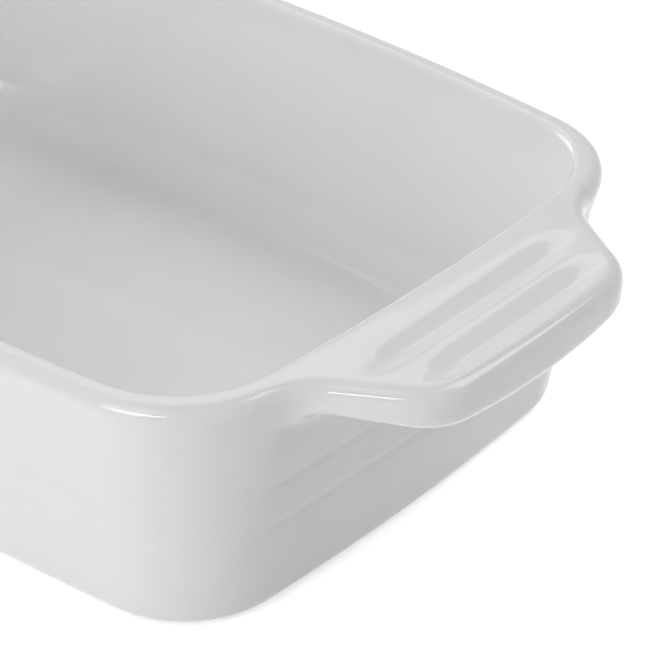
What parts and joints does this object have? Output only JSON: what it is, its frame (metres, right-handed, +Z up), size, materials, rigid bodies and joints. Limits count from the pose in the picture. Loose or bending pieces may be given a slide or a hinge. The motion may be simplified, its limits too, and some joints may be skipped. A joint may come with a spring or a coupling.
{
  "type": "lasagna dish",
  "caption": "Deep rectangular glazed stoneware oven dish with rounded corners, grooved outer walls, a foot ring and a ribbed lug handle at each end.",
  "frame": {"origin": "middle of the foot, on the surface that the dish stands on", "axes": "+X along the dish, from one handle to the other; +Y across it; +Z up"},
  "size_m": [0.4, 0.2284, 0.086],
  "materials": {
    "bare_stoneware": "matte unglazed stoneware, ground smooth at the foot ring",
    "white_glaze": "glossy white glaze"
  },
  "bodies": {
    "root": {"stoneware_body": "bare_stoneware", "glaze_coat": "white_glaze", "underside_glaze": "white_glaze"}
  },
  "joints": []
}
